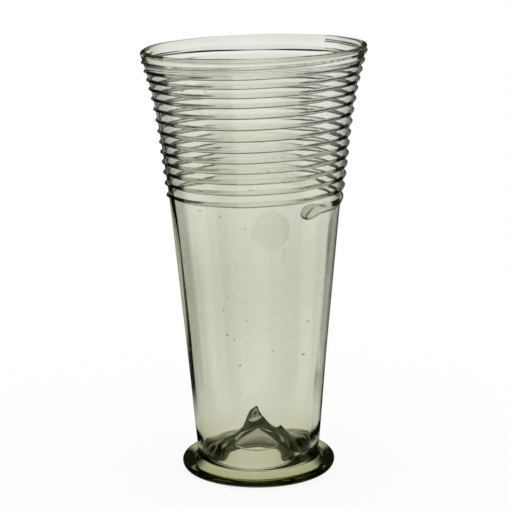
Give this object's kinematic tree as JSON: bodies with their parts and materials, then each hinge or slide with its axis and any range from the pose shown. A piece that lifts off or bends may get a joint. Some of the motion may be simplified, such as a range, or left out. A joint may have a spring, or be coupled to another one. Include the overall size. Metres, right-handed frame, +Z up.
{
  "type": "beer glass",
  "caption": "Tall flared beaker of pale olive glass with soft facets, a wound glass thread round its upper half, a thick foot ring and a pushed-up base.",
  "frame": {"origin": "middle of the surface that the foot ring stands on", "axes": "+Z up along the beaker, -Y to the front, where the sticker and the thread's starting drop are"},
  "size_m": [0.0887, 0.0888, 0.1709],
  "materials": {
    "wall_glass": "clear, fire-polished, pale olive grey, with a few seeds",
    "foot_glass": "clear, fire-polished, darker olive where it is thick",
    "thread_glass": "clear, fire-polished, pale olive grey",
    "broken_glass": "rough broken edge",
    "clear_film": "clear satin film"
  },
  "bodies": {
    "root": {"beaker": "wall_glass", "foot_ring": "foot_glass", "thread": "thread_glass", "pontil_scar": "broken_glass", "sticker": "clear_film"}
  },
  "joints": []
}
